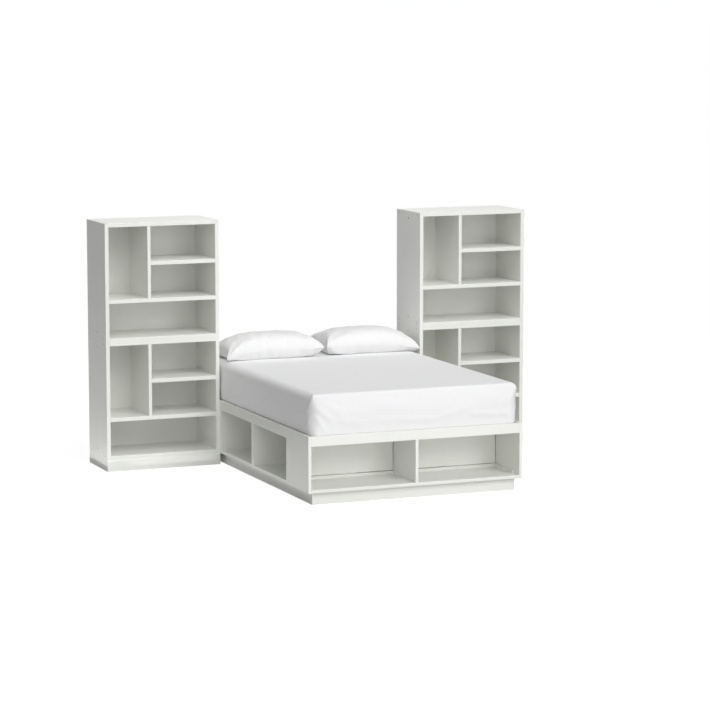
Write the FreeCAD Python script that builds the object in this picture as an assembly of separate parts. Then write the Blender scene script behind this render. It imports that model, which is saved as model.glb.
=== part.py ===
import FreeCAD, Part
import os

from FreeCAD import Vector

# A storage bed between two open bookcase towers, in millimetres.
# The origin is on the floor at the middle of the whole set. X runs across the bed, Y from the foot
# towards the wall behind the head, Z up.

# Bed, outside
BED_WIDTH = 1448.0
BED_LENGTH = 2018.0
BED_HEIGHT = 430.0
BED_BOARD = 20.0
TOE_KICK_HEIGHT = 77.0
TOE_KICK_SIDE_INSET = 38.0
TOE_KICK_FRONT_INSET = 36.0

# Bed, boxes under the deck
RAIL_HEIGHT = 63.0
FOOT_UNIT_DEPTH = 362.0
SIDE_UNIT_DEPTH = 362.0
BED_BACK_BOARD = 12.0
BATTEN_HEIGHT = 20.0
BATTEN_PROUD = 4.0
END_BATTEN_THICKNESS = 12.0
END_BATTEN_FROM_FRONT = 82.0
BATTEN_SHADOW_GAP = 4.0
BACK_SHADOW_GAP = 5.0
SLAT_WIDTH = 70.0
SLAT_THICKNESS = 18.0
SLAT_COUNT = 16
DECK_BELOW_RIM = 6.0

# Towers
TOWER_WIDTH = 782.0
TOWER_DEPTH = 400.0
UNIT_HEIGHT = 777.0
TOWER_BOARD = 25.4
TOWER_DIVIDER = 22.0
TOWER_BACK = 5.0
TALL_BAY_WIDTH = 264.0
LOW_BAY_HEIGHT = 227.0
MIDDLE_BAY_HEIGHT = 218.5
BACK_REBATE = 8.0
PLINTH_HEIGHT = 76.0
PLINTH_BOARD = 20.0
PLINTH_PROUD = 6.0
PLINTH_EASED_EDGE = 8.0

# Fasteners
SCREW_HEAD_DIAMETER = 10.0
SCREW_HEAD_DEPTH = 3.0
SCREW_SHANK_DIAMETER = 6.4
SCREW_LENGTH = 50.0
SCREW_KEY_WIDTH = 4.0
SCREW_FROM_EDGE = 18.0
SCREW_FROM_FRONT = 52.0
SCREW_FROM_BACK = 45.0
LINK_HOLE_DIAMETER = 8.0
LINK_HOLE_FROM_EDGE = 48.5
BOLT_HEAD_DIAMETER = 15.0
BOLT_HEAD_THICKNESS = 1.8
BOLT_FROM_SIDE = 60.0
BOLT_FROM_FRONT = 70.0
BOLT_IN_UPPER_BOARD = 16.0
INSERT_FLANGE_DIAMETER = 15.0
INSERT_FLANGE_THICKNESS = 1.5
INSERT_BARREL_DIAMETER = 10.0
INSERT_DEPTH = 14.0
INSERT_BORE_DIAMETER = 6.0
INSERT_BORE_DEPTH = 11.0
DOWEL_DIAMETER = 8.0
DOWEL_LENGTH = 30.0
DOWEL_IN_FACE = 12.0
DOWEL_FROM_END = 60.0
DOWEL_FROM_EDGE = 15.0
PARTITION_FIXING_FROM_EDGE = 80.0

# Bedding
MATTRESS_WIDTH = 1394.0
MATTRESS_LENGTH = 1935.0
MATTRESS_THICKNESS = 262.0
MATTRESS_CORNER = 42.0
MATTRESS_EDGE = 30.0
PILLOW_LENGTH = 700.0
PILLOW_DEPTH = 400.0
PILLOW_THICKNESS = 170.0
PILLOW_DRAWN_IN = 18.0
PILLOW_STATIONS = (0.0, 0.03, 0.1, 0.22, 0.38, 0.5, 0.62, 0.78, 0.9, 0.97, 1.0)
PILLOW_FULLNESS_POWER = 2.6
PILLOW_END_SHARE = 0.07
PILLOW_END_LIFT = 0.3
PILLOW_SEAM_SHARE = 0.42
PILLOW_FLAT_SHARE = 0.28
PILLOW_END_FLAT_SHARE = 0.35
PILLOW_CURL_REACH = 0.62
PILLOW_CURL_RISE = 0.12
PILLOW_GAP = 10.0
PILLOWS_OFF_CENTRE = 16.0
LEFT_PILLOW_PAST_MATTRESS = 5.0
RIGHT_PILLOW_PAST_MATTRESS = 25.0

# Clearances
FIT = 0.5
SOFT_FIT = 0.3
MATTRESS_FIT = 2.0
HOLE_FIT = 0.15
EASED_EDGE = 1.8

# Places that follow from those sizes
BED_LEFT = -BED_WIDTH / 2
BED_RIGHT = BED_WIDTH / 2
FOOT = -BED_LENGTH / 2
HEAD = BED_LENGTH / 2
TOWER_FRONT = HEAD - TOWER_DEPTH
FLOOR_TOP = TOE_KICK_HEIGHT + BED_BOARD
RAIL_BOTTOM = BED_HEIGHT - RAIL_HEIGHT
DECK_TOP = BED_HEIGHT - DECK_BELOW_RIM
BOX_TOP = DECK_TOP - SLAT_THICKNESS
BOX_CEILING = BOX_TOP - BED_BOARD
FOOT_UNIT_BACK = FOOT + FOOT_UNIT_DEPTH
SIDE_MODULE = (TOWER_FRONT - FOOT_UNIT_BACK) / 2
HEAD_INSIDE = HEAD - BED_BOARD
SHELF_BOTTOM = TOWER_BOARD + LOW_BAY_HEIGHT
SHELF_TOP = SHELF_BOTTOM + TOWER_BOARD
SHORT_SHELF_BOTTOM = SHELF_TOP + MIDDLE_BAY_HEIGHT
UNIT_CEILING = UNIT_HEIGHT - TOWER_BOARD
DIVIDER_LEFT = TOWER_BOARD + TALL_BAY_WIDTH
DIVIDER_RIGHT = DIVIDER_LEFT + TOWER_DIVIDER
BACK_FRONT_FACE = TOWER_DEPTH - TOWER_BACK


def block(x, y, z):
    """A board between two x values, two y values and two z values."""
    size = (x[1] - x[0], y[1] - y[0], z[1] - z[0])
    return Part.makeBox(size[0], size[1], size[2], Vector(x[0], y[0], z[0]))


def rod(start, direction, length, diameter):
    """A round bar or a drill of that diameter."""
    return Part.makeCylinder(diameter / 2, length, start, direction)


def ease(board, where, radius=EASED_EDGE):
    """Round the edges of a board whose middle point passes the test."""
    edges = [edge for edge in board.Edges if where(edge.CenterOfMass, edge)]
    return board.makeFillet(radius, edges)


def eased_front(board):
    """Round the long edges of a board's front face, which looks towards the foot of the bed."""
    box = board.BoundBox
    long_side = max(box.XLength, box.ZLength)
    return ease(board, lambda at, edge: at.y < box.YMin + 0.01 and edge.Length > 0.9 * long_side)


def write(name, *solids):
    """Write one piece, or a group of alike pieces, as parts/NAME.step."""
    shape = solids[0] if len(solids) == 1 else Part.makeCompound(list(solids))
    count = len(shape.Solids)
    if not shape.isValid() or count != len(solids):
        raise ValueError(name + " is not " + str(len(solids)) + " valid solids")
    shape.exportStep("parts/" + name + ".step")
    print(name, count, "solids,", round(shape.Volume / 1e6, 3), "litres")


# ---------------------------------------------------------------- fasteners

def confirmat(head, inward):
    """A one-piece furniture screw with a hexagon socket, its head flush at the point given."""
    screw = rod(head, inward, SCREW_HEAD_DEPTH, SCREW_HEAD_DIAMETER)
    neck = head + inward * SCREW_HEAD_DEPTH
    shank = rod(neck, inward, SCREW_LENGTH - SCREW_HEAD_DEPTH, SCREW_SHANK_DIAMETER)
    hexagon = Part.Wire(Part.makePolygon(hexagon_points(head, inward, SCREW_KEY_WIDTH)))
    socket = Part.Face(hexagon).extrude(inward * (SCREW_HEAD_DEPTH * 0.8))
    return screw.fuse(shank).removeSplitter().cut(socket)


def hexagon_points(centre, axis, width):
    """Seven points round a hexagon of that width across its flats, square to the axis."""
    arm = Vector(0, 0, 1) if abs(axis.z) < 0.5 else Vector(1, 0, 0)
    arm = arm * (width / 3 ** 0.5)
    turn = [FreeCAD.Rotation(axis, 60 * step) for step in range(7)]
    return [centre + rotation.multVec(arm) for rotation in turn]


def confirmat_hole(head, inward):
    """The stepped hole that a confirmat screw fills."""
    wide = rod(head, inward, SCREW_HEAD_DEPTH + HOLE_FIT, SCREW_HEAD_DIAMETER + 2 * HOLE_FIT)
    narrow = rod(head, inward, SCREW_LENGTH + HOLE_FIT, SCREW_SHANK_DIAMETER + 2 * HOLE_FIT)
    return wide.fuse(narrow)


def connector_bolt(start, axis, grip):
    """A sleeve nut and its bolt, done up: a barrel as long as the grip, with a flat head at each end."""
    barrel = rod(start, axis, grip, LINK_HOLE_DIAMETER - 2 * HOLE_FIT)
    near = rod(start - axis * BOLT_HEAD_THICKNESS, axis, BOLT_HEAD_THICKNESS, BOLT_HEAD_DIAMETER)
    far = rod(start + axis * grip, axis, BOLT_HEAD_THICKNESS, BOLT_HEAD_DIAMETER)
    return barrel.fuse([near, far]).removeSplitter()


def stacking_bolt(start, axis):
    """A bolt and its blind sleeve nut: a flat head below, and a barrel that ends inside the upper board."""
    barrel = rod(start, axis, TOWER_BOARD + BOLT_IN_UPPER_BOARD, LINK_HOLE_DIAMETER - 2 * HOLE_FIT)
    head = rod(start - axis * BOLT_HEAD_THICKNESS, axis, BOLT_HEAD_THICKNESS, BOLT_HEAD_DIAMETER)
    return barrel.fuse(head).removeSplitter()


def linking_insert(mouth, inward, fit=0.0):
    """A steel insert for a linking bolt, its flange flush at the point given; with a fit, its hole."""
    flange = rod(mouth, inward, INSERT_FLANGE_THICKNESS + fit, INSERT_FLANGE_DIAMETER + 2 * fit)
    barrel = rod(mouth, inward, INSERT_DEPTH + fit, INSERT_BARREL_DIAMETER + 2 * fit)
    body = flange.fuse(barrel)
    if fit:
        return body
    return body.removeSplitter().cut(rod(mouth, inward, INSERT_BORE_DEPTH, INSERT_BORE_DIAMETER))


def dowel(seam, inward):
    """A wooden dowel across a seam. It points into the board whose end or edge meets the other's face."""
    return rod(seam - inward * DOWEL_IN_FACE, inward, DOWEL_LENGTH, DOWEL_DIAMETER)


def dowel_hole(seam, inward):
    """The hole of one dowel, a little wider and longer than the dowel."""
    start = seam - inward * (DOWEL_IN_FACE + HOLE_FIT)
    return rod(start, inward, DOWEL_LENGTH + 2 * HOLE_FIT, DOWEL_DIAMETER + 2 * HOLE_FIT)


def drilled(board, holes):
    """A board with the holes that reach into it."""
    reaching = [hole for hole in holes if hole.BoundBox.intersect(board.BoundBox)]
    return board.cut(reaching) if reaching else board


def facing(point):
    """The same point on the other side of the bed."""
    return Vector(-point.x, point.y, point.z)


def on_both_sides(seams):
    """Dowel seams of the left side of the bed, and their twins on the right."""
    return seams + [(facing(seam), facing(inward)) for seam, inward in seams]


# ---------------------------------------------------------------- towers

def side_screw_places():
    """Depth and height in a unit of the screws through one side, towards its top and bottom boards."""
    depths = (SCREW_FROM_FRONT, TOWER_DEPTH - SCREW_FROM_BACK)
    heights = (SCREW_FROM_EDGE, UNIT_HEIGHT - SCREW_FROM_EDGE)
    return [(y, z) for y in depths for z in heights]


def insert_axes(level, bed_side):
    """Mouth and direction of a unit's linking inserts, in the outer faces of its sides.

    The lower unit has a tie bolt instead of its lowest insert on the side of the bed.
    """
    faces = {"left": (0, Vector(1, 0, 0)), "right": (TOWER_WIDTH, Vector(-1, 0, 0))}
    axes = []
    for side, (x, inward) in faces.items():
        for z in (LINK_HOLE_FROM_EDGE, UNIT_HEIGHT - LINK_HOLE_FROM_EDGE):
            if (level, side, z) != ("lower", bed_side, LINK_HOLE_FROM_EDGE):
                axes.append((Vector(x, TOWER_DEPTH / 2, z), inward))
    return axes


def unit_bolt_places():
    """Places in a unit's top and bottom boards of the bolts that join two stacked units."""
    across = (TOWER_BOARD + BOLT_FROM_SIDE, TOWER_WIDTH - TOWER_BOARD - BOLT_FROM_SIDE)
    along = (BOLT_FROM_FRONT, TOWER_DEPTH - BOLT_FROM_FRONT)
    return [(x, y) for x in across for y in along]


def unit_screw_axes():
    """Head point and direction of every screw of one unit."""
    left = [(Vector(0, y, z), Vector(1, 0, 0)) for y, z in side_screw_places()]
    right = [(Vector(TOWER_WIDTH, y, z), Vector(-1, 0, 0)) for y, z in side_screw_places()]
    return left + right


def unit_dowel_seams():
    """Where the dowels of one unit's shelf, divider and short shelf cross their seams, and which way."""
    right = Vector(1, 0, 0)
    up = Vector(0, 0, 1)
    inside_right = TOWER_WIDTH - TOWER_BOARD
    shelf_middle = SHELF_BOTTOM + TOWER_BOARD / 2
    short_middle = SHORT_SHELF_BOTTOM + TOWER_BOARD / 2
    divider_middle = DIVIDER_LEFT + TOWER_DIVIDER / 2
    seams = []
    for y in (DOWEL_FROM_END, BACK_FRONT_FACE - DOWEL_FROM_END):
        seams += [
            (Vector(TOWER_BOARD, y, shelf_middle), right),
            (Vector(inside_right, y, shelf_middle), -right),
            (Vector(DIVIDER_RIGHT, y, short_middle), right),
            (Vector(inside_right, y, short_middle), -right),
            (Vector(divider_middle, y, SHELF_TOP), up),
            (Vector(divider_middle, y, UNIT_CEILING), -up),
        ]
    return seams


def plinth_dowel_seams():
    """Where dowels stand up out of the plinth's end boards, in a tower's own place."""
    across = (PLINTH_BOARD / 2, TOWER_WIDTH - PLINTH_BOARD / 2)
    along = (DOWEL_FROM_END, TOWER_DEPTH - DOWEL_FROM_END)
    return [(Vector(x, y, PLINTH_HEIGHT), Vector(0, 0, 1)) for x in across for y in along]


def unit_boards(level, bed_side):
    """The eight boards of the lower or upper unit, by name, its front left bottom corner at the origin."""
    inside_x = (TOWER_BOARD, TOWER_WIDTH - TOWER_BOARD)
    depth = (0, BACK_FRONT_FACE)
    full_depth = (0, TOWER_DEPTH)
    rebate = block((TOWER_BOARD - BACK_REBATE, TOWER_WIDTH - TOWER_BOARD + BACK_REBATE),
                   (BACK_FRONT_FACE, TOWER_DEPTH),
                   (TOWER_BOARD - BACK_REBATE, UNIT_CEILING + BACK_REBATE))
    holes = [confirmat_hole(head, inward) for head, inward in unit_screw_axes()]
    holes += [dowel_hole(seam, inward) for seam, inward in unit_dowel_seams()]
    holes += [linking_insert(mouth, inward, HOLE_FIT) for mouth, inward in insert_axes(level, bed_side)]
    bolted = {"lower": (UNIT_CEILING, TOWER_BOARD), "upper": (0, BOLT_IN_UPPER_BOARD + HOLE_FIT)}[level]
    holes += [rod(Vector(x, y, bolted[0]), Vector(0, 0, 1), bolted[1], LINK_HOLE_DIAMETER)
              for x, y in unit_bolt_places()]
    if level == "lower":
        holes += [moved(dowel_hole(seam, inward), Vector(0, 0, -PLINTH_HEIGHT))
                  for seam, inward in plinth_dowel_seams()]
        tie_x = {"left": 0, "right": TOWER_WIDTH - TOWER_BOARD}[bed_side]
        holes.append(rod(Vector(tie_x, TOWER_DEPTH / 2, LINK_HOLE_FROM_EDGE), Vector(1, 0, 0), TOWER_BOARD,
                         LINK_HOLE_DIAMETER))
    left_side = eased_front(block((0, TOWER_BOARD), full_depth, (0, UNIT_HEIGHT)))
    right_side = eased_front(block((inside_x[1], TOWER_WIDTH), full_depth, (0, UNIT_HEIGHT)))
    top = eased_front(block(inside_x, full_depth, (UNIT_CEILING, UNIT_HEIGHT)))
    bottom = eased_front(block(inside_x, full_depth, (0, TOWER_BOARD)))
    back = block((inside_x[0] - BACK_REBATE + FIT, inside_x[1] + BACK_REBATE - FIT),
                 (BACK_FRONT_FACE, TOWER_DEPTH),
                 (TOWER_BOARD - BACK_REBATE + FIT, UNIT_CEILING + BACK_REBATE - FIT))
    shelf = block(inside_x, depth, (SHELF_BOTTOM, SHELF_TOP))
    divider = block((DIVIDER_LEFT, DIVIDER_RIGHT), depth, (SHELF_TOP, UNIT_CEILING))
    short_shelf = block((DIVIDER_RIGHT, inside_x[1]), depth,
                        (SHORT_SHELF_BOTTOM, SHORT_SHELF_BOTTOM + TOWER_BOARD))
    boards = {
        "left_side": left_side.cut(rebate),
        "right_side": right_side.cut(rebate),
        "top": top.cut(rebate),
        "bottom": bottom.cut(rebate),
        "shelf": eased_front(shelf),
        "divider": eased_front(divider),
        "short_shelf": eased_front(short_shelf),
        "back": back,
    }
    return {name: drilled(board, holes) for name, board in boards.items()}


def plinth_boards():
    """The four boards of a tower's plinth: the front one stands proud and has an eased top edge."""
    z = (0, PLINTH_HEIGHT)
    front = block((0, TOWER_WIDTH), (-PLINTH_PROUD, PLINTH_BOARD - PLINTH_PROUD), z)
    front = ease(front, lambda at, edge: at.y < FIT - PLINTH_PROUD and at.z > PLINTH_HEIGHT - FIT,
                 min(PLINTH_EASED_EDGE, PLINTH_BOARD / 2))
    behind = PLINTH_BOARD - PLINTH_PROUD
    left = block((0, PLINTH_BOARD), (behind, TOWER_DEPTH), z)
    right = block((TOWER_WIDTH - PLINTH_BOARD, TOWER_WIDTH), (behind, TOWER_DEPTH), z)
    back = block((PLINTH_BOARD, TOWER_WIDTH - PLINTH_BOARD), (TOWER_DEPTH - PLINTH_BOARD, TOWER_DEPTH), z)
    holes = [dowel_hole(seam, inward) for seam, inward in plinth_dowel_seams()]
    return [drilled(board, holes) for board in (front, left, right, back)]


def moved(shape, offset):
    """A copy of a shape, moved."""
    copy = shape.copy()
    copy.translate(offset)
    return copy


def write_tower(name, left, bed_side):
    """One tower with its left side at that x. Returns its screws, its bolts and inserts, and its dowels."""
    floor_corner = Vector(left, TOWER_FRONT, 0)
    screws = []
    backs = []
    inserts = []
    dowels = [dowel(floor_corner + seam, inward) for seam, inward in plinth_dowel_seams()]
    for storey, level in enumerate(("lower", "upper")):
        corner = floor_corner + Vector(0, 0, PLINTH_HEIGHT + storey * UNIT_HEIGHT)
        boards = unit_boards(level, bed_side)
        backs.append(moved(boards.pop("back"), corner))
        for board_name, board in boards.items():
            write("_".join((name, level, board_name)), moved(board, corner))
        screws += [confirmat(corner + head, inward) for head, inward in unit_screw_axes()]
        dowels += [dowel(corner + seam, inward) for seam, inward in unit_dowel_seams()]
        inserts += [linking_insert(corner + mouth, inward) for mouth, inward in insert_axes(level, bed_side)]
    write(name + "_backs", *backs)
    write(name + "_plinth", *[moved(board, floor_corner) for board in plinth_boards()])
    stack = floor_corner + Vector(0, 0, PLINTH_HEIGHT + UNIT_HEIGHT - TOWER_BOARD)
    bolts = [stacking_bolt(stack + Vector(x, y, 0), Vector(0, 0, 1)) for x, y in unit_bolt_places()]
    return screws, bolts + inserts, dowels


# ---------------------------------------------------------------- bed

def mirrored(shape):
    """The same piece on the other side of the bed."""
    return shape.mirror(Vector(0, 0, 0), Vector(1, 0, 0))


def both_sides(name, shape):
    """Write a piece of the left side and its twin on the right."""
    write("left_" + name, shape)
    write("right_" + name, mirrored(shape))


def under_rail(shape, y, x):
    """Notch a board so that its front corner passes under the rail."""
    return shape.cut(block(x, y, (RAIL_BOTTOM, BED_HEIGHT)))


def toe_kick_boards():
    """The recessed frame that the bed stands on."""
    z = (0, TOE_KICK_HEIGHT)
    outer = BED_LEFT + TOE_KICK_SIDE_INSET
    front = FOOT + TOE_KICK_FRONT_INSET
    inner = BED_LEFT + SIDE_UNIT_DEPTH - BED_BOARD
    left = block((outer, outer + BED_BOARD), (front + BED_BOARD, HEAD_INSIDE), z)
    left_inner = block((inner, inner + BED_BOARD), (front + BED_BOARD, HEAD_INSIDE), z)
    between_inner = (inner + BED_BOARD, -inner - BED_BOARD)
    foot_inner = block(between_inner, (FOOT_UNIT_BACK - BED_BOARD, FOOT_UNIT_BACK), z)
    return [
        block((outer, -outer), (front, front + BED_BOARD), z),
        block((outer, -outer), (HEAD_INSIDE, HEAD), z),
        left, mirrored(left), left_inner, mirrored(left_inner), foot_inner,
    ]


def foot_dowel_seams():
    """Where the dowels of the foot unit cross its seams, and which way."""
    right = Vector(1, 0, 0)
    up = Vector(0, 0, 1)
    inside = BED_LEFT + BED_BOARD
    depths = (FOOT + DOWEL_FROM_END, FOOT_UNIT_BACK - DOWEL_FROM_END)
    board_heights = (TOE_KICK_HEIGHT + BED_BOARD / 2, BOX_TOP - BED_BOARD / 2)
    rail_heights = (RAIL_BOTTOM + DOWEL_FROM_EDGE, BED_HEIGHT - DOWEL_FROM_EDGE)
    ends = [(Vector(inside, y, z), right) for y in depths for z in board_heights]
    ends += [(Vector(inside, FOOT + BED_BOARD / 2, z), right) for z in rail_heights]
    divider = [(Vector(0, y, FLOOR_TOP), up) for y in depths]
    divider += [(Vector(0, y, BOX_CEILING), -up) for y in depths]
    behind = FOOT_UNIT_BACK - BED_BACK_BOARD / 2
    backs = [(Vector(x, behind, BOX_CEILING), -up) for x in (inside / 4, inside * 3 / 4)]
    return on_both_sides(ends + backs) + divider


def side_dowel_seams():
    """Where the dowels of both side units cross their seams, and which way."""
    right = Vector(1, 0, 0)
    along = Vector(0, 1, 0)
    down = Vector(0, 0, -1)
    rail_middle = BED_LEFT + BED_BOARD / 2
    notch_height = (RAIL_BOTTOM + BOX_CEILING) / 2
    rail_heights = (notch_height + 2 * DOWEL_DIAMETER, BED_HEIGHT - DOWEL_FROM_EDGE)
    middles = [y + BED_BOARD / 2 for y in partition_fronts()]
    seams = [(Vector(x, y, BOX_CEILING), down) for x in partition_fixing_places() for y in middles]
    seams += [(Vector(BED_LEFT + BED_BOARD, y, notch_height), right) for y in middles]
    seams += [(Vector(rail_middle, FOOT_UNIT_BACK, z), along) for z in rail_heights]
    seams += [(Vector(rail_middle, TOWER_FRONT, z), -along) for z in rail_heights]
    return on_both_sides(seams)


def head_dowel_seams():
    """Where the dowels between the head panel and the two side panels cross their seams."""
    seam_x = BED_LEFT + BED_BOARD
    middle_y = HEAD - BED_BOARD / 2
    lowest = TOE_KICK_HEIGHT + DOWEL_FROM_END
    highest = BED_HEIGHT - DOWEL_FROM_END
    heights = (lowest, (lowest + highest) / 2, highest)
    return on_both_sides([(Vector(seam_x, middle_y, z), Vector(1, 0, 0)) for z in heights])


def bed_dowel_seams():
    """Every dowel of the bed."""
    return foot_dowel_seams() + side_dowel_seams() + head_dowel_seams()


def write_foot_unit(holes):
    """The box at the foot: two cubbies that open to the front."""
    inside_x = (BED_LEFT + BED_BOARD, BED_RIGHT - BED_BOARD)
    back_face = FOOT_UNIT_BACK - BED_BACK_BOARD
    middle = (-BED_BOARD / 2, BED_BOARD / 2)
    rail_y = (FOOT, FOOT + BED_BOARD)
    panel = block((BED_LEFT, inside_x[0]), (FOOT, FOOT_UNIT_BACK), (TOE_KICK_HEIGHT, BED_HEIGHT))
    panel = drilled(eased_front(panel), holes)
    floor = eased_front(block(inside_x, (FOOT, FOOT_UNIT_BACK), (TOE_KICK_HEIGHT, FLOOR_TOP)))
    top = block(inside_x, (FOOT + BED_BOARD, FOOT_UNIT_BACK), (BOX_CEILING, BOX_TOP))
    divider = eased_front(block(middle, (FOOT, FOOT_UNIT_BACK), (FLOOR_TOP, BOX_CEILING)))
    batten_top = FLOOR_TOP + BATTEN_HEIGHT
    batten = block(inside_x, (back_face - BATTEN_PROUD, FOOT_UNIT_BACK), (FLOOR_TOP, batten_top))
    end_batten = block((inside_x[0], inside_x[0] + END_BATTEN_THICKNESS),
                       (FOOT + END_BATTEN_FROM_FRONT, back_face - BATTEN_PROUD), (FLOOR_TOP, batten_top))
    back = block((inside_x[0] + BACK_SHADOW_GAP, middle[0] - BACK_SHADOW_GAP), (back_face, FOOT_UNIT_BACK),
                 (batten_top + BATTEN_SHADOW_GAP, BOX_CEILING))
    back = drilled(back, holes)
    rail = block(inside_x, rail_y, (RAIL_BOTTOM, BED_HEIGHT))
    write("foot_left_panel", panel)
    write("foot_right_panel", mirrored(panel))
    write("foot_floor", drilled(floor, holes))
    write("foot_top", drilled(top, holes))
    write("foot_divider", drilled(under_rail(divider, rail_y, middle).cut(batten), holes))
    write("foot_backs", back, mirrored(back))
    write("foot_battens", batten, end_batten, mirrored(end_batten))
    write("foot_rail", drilled(eased_front(rail), holes))


def partition_fronts():
    """The y of the front face of each of a side unit's four partitions."""
    modules = (FOOT_UNIT_BACK, FOOT_UNIT_BACK + SIDE_MODULE)
    return [y for start in modules for y in (start, start + SIDE_MODULE - BED_BOARD)]


def partition_fixing_places():
    """The x of the screws and dowels in the left unit's partitions."""
    return (BED_LEFT + PARTITION_FIXING_FROM_EDGE, BED_LEFT + SIDE_UNIT_DEPTH - PARTITION_FIXING_FROM_EDGE)


def partition_screw_heads():
    """Where the hidden screws come up through the left unit's floor into its partitions."""
    middles = [y + BED_BOARD / 2 for y in partition_fronts()]
    return [Vector(x, y, TOE_KICK_HEIGHT) for x in partition_fixing_places() for y in middles]


def write_side_units(dowel_holes):
    """The boxes under the two long sides: two cubbies each, open to the side. Returns their screws."""
    up = Vector(0, 0, 1)
    inner = BED_LEFT + SIDE_UNIT_DEPTH
    back_face = inner - BED_BACK_BOARD
    run = (FOOT_UNIT_BACK, TOWER_FRONT)
    rail_x = (BED_LEFT, BED_LEFT + BED_BOARD)
    holes = dowel_holes + [confirmat_hole(head, up) for head in partition_screw_heads()]
    floor = block((BED_LEFT, inner), run, (TOE_KICK_HEIGHT, FLOOR_TOP))
    top = block((BED_LEFT + BED_BOARD, inner), (FOOT_UNIT_BACK, HEAD_INSIDE), (BOX_CEILING, BOX_TOP))
    back = block((back_face, inner), run, (FLOOR_TOP, BOX_CEILING))
    partitions = []
    for y in partition_fronts():
        thickness = (y, y + BED_BOARD)
        board = block((BED_LEFT, back_face), thickness, (FLOOR_TOP, BOX_CEILING))
        partitions.append(drilled(under_rail(board, thickness, rail_x), holes))
    both_sides("cubby_floor", drilled(floor, holes))
    both_sides("cubby_top", drilled(top, holes))
    both_sides("cubby_back", back)
    both_sides("rail", drilled(block(rail_x, run, (RAIL_BOTTOM, BED_HEIGHT)), holes))
    write("cubby_partitions", *(partitions + [mirrored(board) for board in partitions]))
    screws = [confirmat(head, up) for head in partition_screw_heads()]
    return screws + [mirrored(screw) for screw in screws]


def write_head_end(dowel_holes):
    """The closed end between the towers. Returns the bolts that tie the towers to it."""
    bolt_y = TOWER_FRONT + TOWER_DEPTH / 2
    bolt_z = PLINTH_HEIGHT + LINK_HOLE_FROM_EDGE
    start = Vector(BED_LEFT - TOWER_BOARD, bolt_y, bolt_z)
    hole = rod(start, Vector(1, 0, 0), TOWER_BOARD + BED_BOARD, LINK_HOLE_DIAMETER)
    height = (TOE_KICK_HEIGHT, BED_HEIGHT)
    side = block((BED_LEFT, BED_LEFT + BED_BOARD), (TOWER_FRONT, HEAD), height)
    side = drilled(side, dowel_holes + [hole])
    end = block((BED_LEFT + BED_BOARD, BED_RIGHT - BED_BOARD), (HEAD_INSIDE, HEAD), height)
    write("head_side_panels", side, mirrored(side))
    write("head_panel", drilled(end, dowel_holes))
    bolt = connector_bolt(start, Vector(1, 0, 0), TOWER_BOARD + BED_BOARD)
    return [bolt, mirrored(bolt)]


def write_deck():
    """The centre support, on edge on the floor, and the slats."""
    support = block((-BED_BOARD / 2, BED_BOARD / 2), (FOOT_UNIT_BACK, HEAD_INSIDE), (0, BOX_TOP))
    write("centre_support_panel", support)
    slat_x = (BED_LEFT + BED_BOARD + FIT, BED_RIGHT - BED_BOARD - FIT)
    first = FOOT + BED_BOARD + FIT
    last = HEAD_INSIDE - FIT - SLAT_WIDTH
    pitch = (last - first) / (SLAT_COUNT - 1)
    fronts = [first + pitch * number for number in range(SLAT_COUNT)]
    write("deck_slats", *[block(slat_x, (y, y + SLAT_WIDTH), (BOX_TOP, DECK_TOP)) for y in fronts])


# ---------------------------------------------------------------- bedding

MATTRESS_BOTTOM = DECK_TOP + SOFT_FIT
MATTRESS_TOP = MATTRESS_BOTTOM + MATTRESS_THICKNESS
MATTRESS_FRONT = FOOT + BED_BOARD + MATTRESS_FIT
MATTRESS_BACK = MATTRESS_FRONT + MATTRESS_LENGTH


def mattress():
    """A block with round corners and soft top and bottom edges."""
    half = MATTRESS_WIDTH / 2
    body = block((-half, half), (MATTRESS_FRONT, MATTRESS_BACK), (MATTRESS_BOTTOM, MATTRESS_TOP))
    body = ease(body, lambda at, edge: abs(edge.Length - MATTRESS_THICKNESS) < FIT, MATTRESS_CORNER)
    flat = (MATTRESS_BOTTOM, MATTRESS_TOP)
    return ease(body, lambda at, edge: min(abs(at.z - level) for level in flat) < 0.01,
                min(MATTRESS_EDGE, MATTRESS_CORNER - 1))


def pillow_section(share, left, front, bottom):
    """The outline of a pillow across its depth, at that share of its length from end to end.

    The top is one arc from seam to seam, the underside is flat and curls up to the seam in two arcs.
    """
    from_middle = abs(2 * share - 1)
    fullness = (1 - from_middle ** PILLOW_FULLNESS_POWER) ** 0.5
    thick = PILLOW_THICKNESS * grown(PILLOW_END_SHARE, fullness)
    lift = PILLOW_END_LIFT * PILLOW_THICKNESS * (1 - fullness)
    drawn = PILLOW_DRAWN_IN * (1 - from_middle ** 2)
    near = front + drawn
    far = front + PILLOW_DEPTH - drawn
    middle = (near + far) / 2
    seam = bottom + lift + PILLOW_SEAM_SHARE * thick
    flat = PILLOW_FLAT_SHARE * PILLOW_DEPTH * grown(PILLOW_END_FLAT_SHARE, fullness)
    x = left + share * PILLOW_LENGTH

    def at(y, z):
        return Vector(x, y, z)

    base = bottom + lift
    top_arc = Part.Arc(at(near, seam), at(middle, base + thick), at(far, seam))
    far_flat = at(middle + flat, base)
    near_flat = at(middle - flat, base)
    curl_height = base + PILLOW_CURL_RISE * thick
    far_curl = at(curl(far, middle + flat), curl_height)
    near_curl = at(curl(near, middle - flat), curl_height)
    far_arc = Part.Arc(at(far, seam), far_curl, far_flat)
    underside = Part.LineSegment(far_flat, near_flat)
    near_arc = Part.Arc(near_flat, near_curl, at(near, seam))
    return Part.Wire([piece.toShape() for piece in (top_arc, far_arc, underside, near_arc)])


def grown(smallest, fullness):
    """A share that is smallest at the pillow's ends and whole at its middle."""
    return smallest + (1 - smallest) * fullness


def curl(seam_y, flat_y):
    """Where the underside has started to curl up, between the seam and the flat."""
    return flat_y + PILLOW_CURL_REACH * (seam_y - flat_y)


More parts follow.
